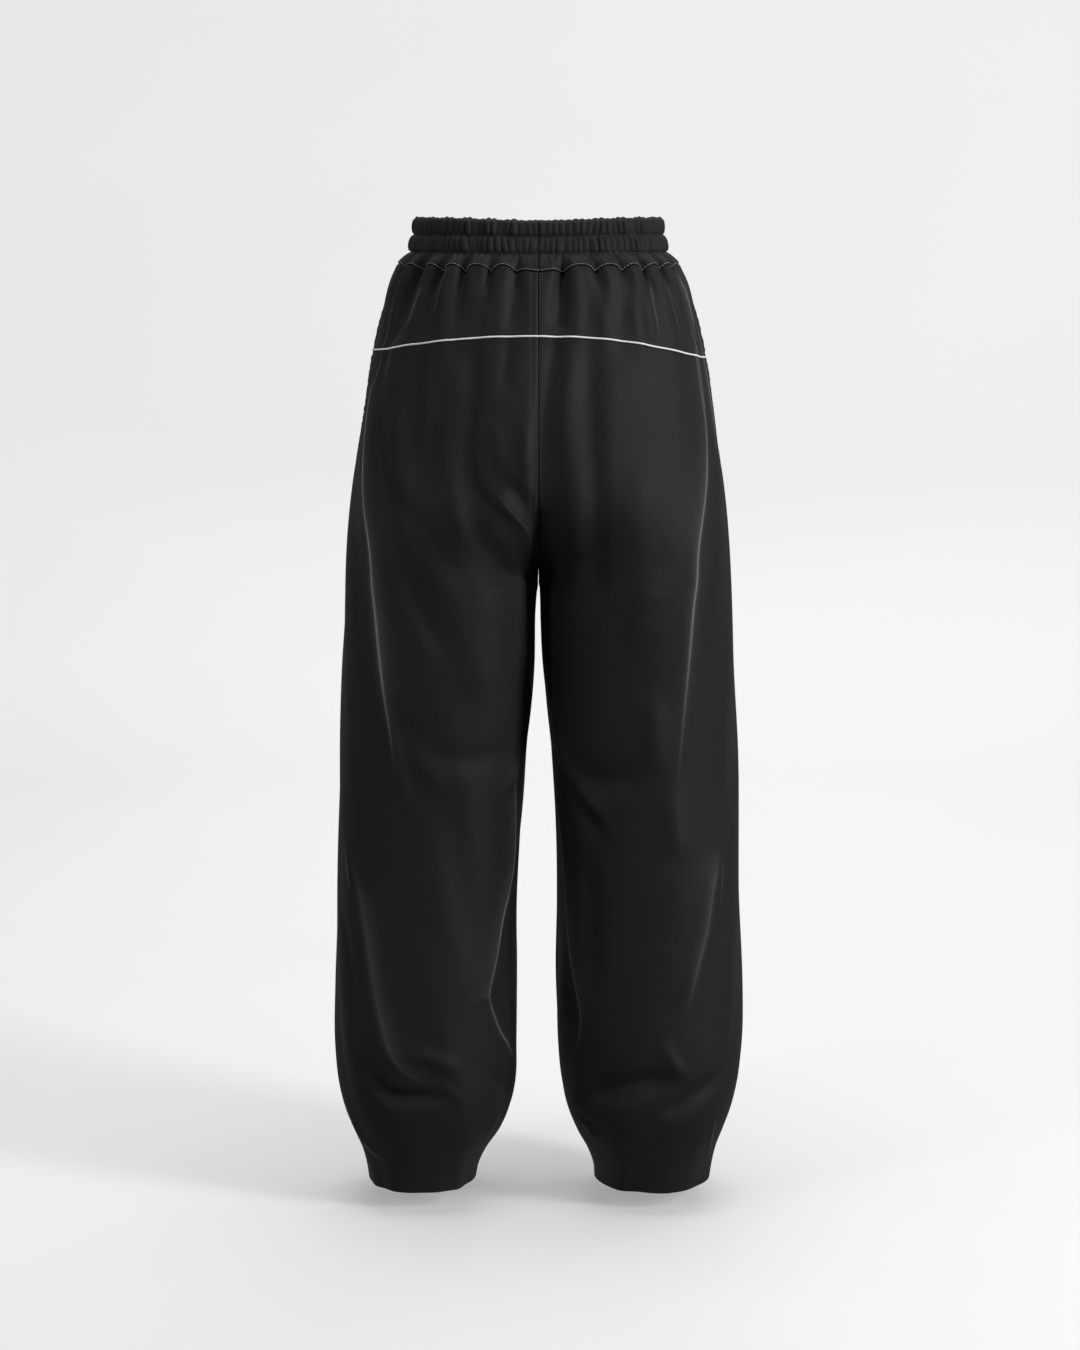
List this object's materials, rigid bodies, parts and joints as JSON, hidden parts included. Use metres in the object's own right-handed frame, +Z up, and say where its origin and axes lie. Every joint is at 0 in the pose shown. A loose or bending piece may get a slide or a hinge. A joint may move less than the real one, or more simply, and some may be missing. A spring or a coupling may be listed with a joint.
{
  "type": "sweatpants",
  "caption": "Wide-leg sweatpants, hollow as worn, with a gathered elastic waistband, a piped back yoke, side-seam pockets and plain hems drawn in at the ankle.",
  "frame": {"origin": "middle of the elastic waistband, on the wearer's centre line, where the wearer's waist holds the garment", "axes": "+Z up, from the hems to the waist; -Y towards the garment's back; +X towards the wearer's right"},
  "size_m": [0.426, 0.2598, 1],
  "materials": {
    "cloth": "smooth matt black cloth with a soft sheen",
    "piping": "plain white cord"
  },
  "bodies": {
    "root": {"waistband": "cloth", "back_yoke_left": "cloth", "back_yoke_right": "cloth", "back_leg_left": "cloth", "back_leg_right": "cloth", "front_left": "cloth", "front_right": "cloth", "pocket_left": "cloth", "pocket_right": "cloth", "piping": "piping"}
  },
  "joints": []
}
